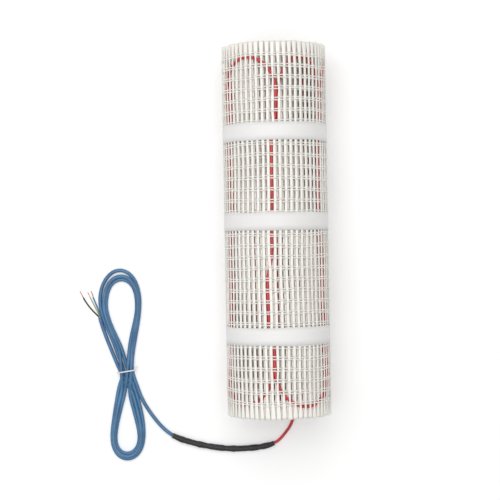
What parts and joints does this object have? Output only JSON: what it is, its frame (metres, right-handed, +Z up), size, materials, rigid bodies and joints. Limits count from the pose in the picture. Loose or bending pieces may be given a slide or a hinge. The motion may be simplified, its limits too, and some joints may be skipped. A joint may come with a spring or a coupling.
{
  "type": "underfloor heating mat",
  "caption": "Roll of glass-fibre mesh heating mat with a serpentine red heating cable, tape bands, a splice sleeve and a power lead tied in a hank.",
  "frame": {"origin": "middle of the roll's footprint on the floor", "axes": "+Z up, +Y along the roll's axis, away from the end where the cable leaves"},
  "size_m": [0.349, 0.569, 0.1416],
  "materials": {
    "glass_fibre_mesh": "creamy white glass-fibre rovings, matt with a faint sheen",
    "white_tape": "plain white adhesive tape, smooth and slightly satin",
    "red_cable": "red insulation, semi-gloss",
    "shrink_sleeve": "charcoal heat-shrink tube, satin, slightly uneven",
    "blue_jacket": "steel-blue cable jacket, satin",
    "white_tie": "thin white tie, smooth",
    "black_core": "black core insulation, satin",
    "green_yellow_core": "green core insulation with a yellow stripe, satin",
    "blue_core": "blue core insulation, satin",
    "bare_copper": "bare stranded copper, slightly dulled"
  },
  "bodies": {
    "root": {"mesh_roll": "glass_fibre_mesh", "heating_cable": "red_cable", "tape_strip_lower": "white_tape", "tape_strip_middle": "white_tape", "tape_strip_upper": "white_tape", "heating_cable_tail": "red_cable", "splice_sleeve": "shrink_sleeve", "power_lead_run": "blue_jacket", "power_lead_hank": "blue_jacket", "power_lead_end": "blue_jacket", "hank_tie": "white_tie", "core_black": "black_core", "core_earth": "green_yellow_core", "core_blue": "blue_core", "conductor_black": "bare_copper", "conductor_earth": "bare_copper", "conductor_blue": "bare_copper"}
  },
  "joints": []
}
